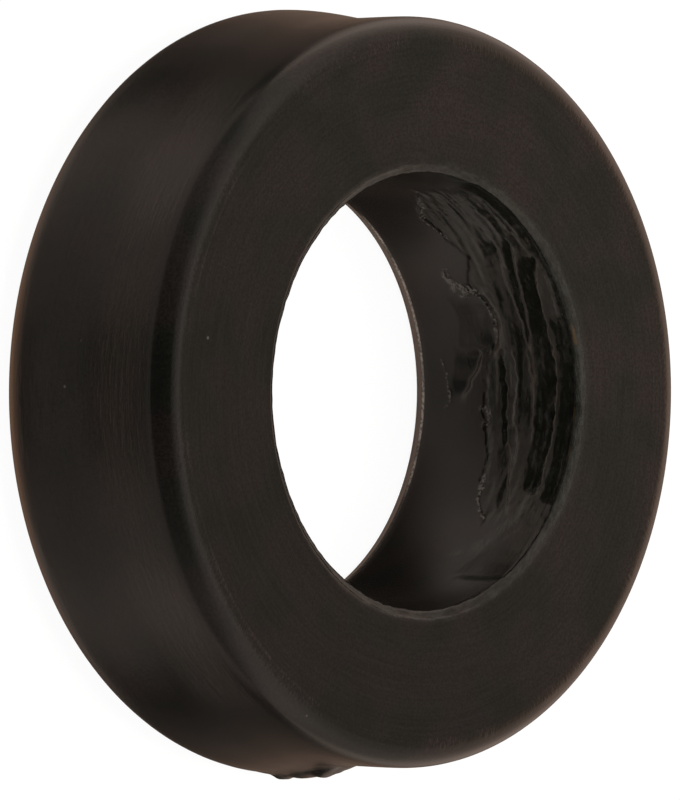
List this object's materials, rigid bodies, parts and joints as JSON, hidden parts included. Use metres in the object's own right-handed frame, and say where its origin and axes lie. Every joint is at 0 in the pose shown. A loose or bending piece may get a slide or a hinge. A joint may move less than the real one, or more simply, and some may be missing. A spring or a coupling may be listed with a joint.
{
  "type": "tension rod washer",
  "caption": "Short thick black plastic ring washer with a rounded rim, a slightly swollen wall and a plain through bore torn on one side.",
  "frame": {"origin": "centre of the back face, which the washer lies on", "axes": "+Z along the bore axis, out of the front face; the torn side of the bore is at +Y"},
  "size_m": [0.0111, 0.011, 0.0033],
  "materials": {
    "black_plastic": "satin, faintly brushed round the wall"
  },
  "bodies": {
    "root": {"washer": "black_plastic"}
  },
  "joints": []
}
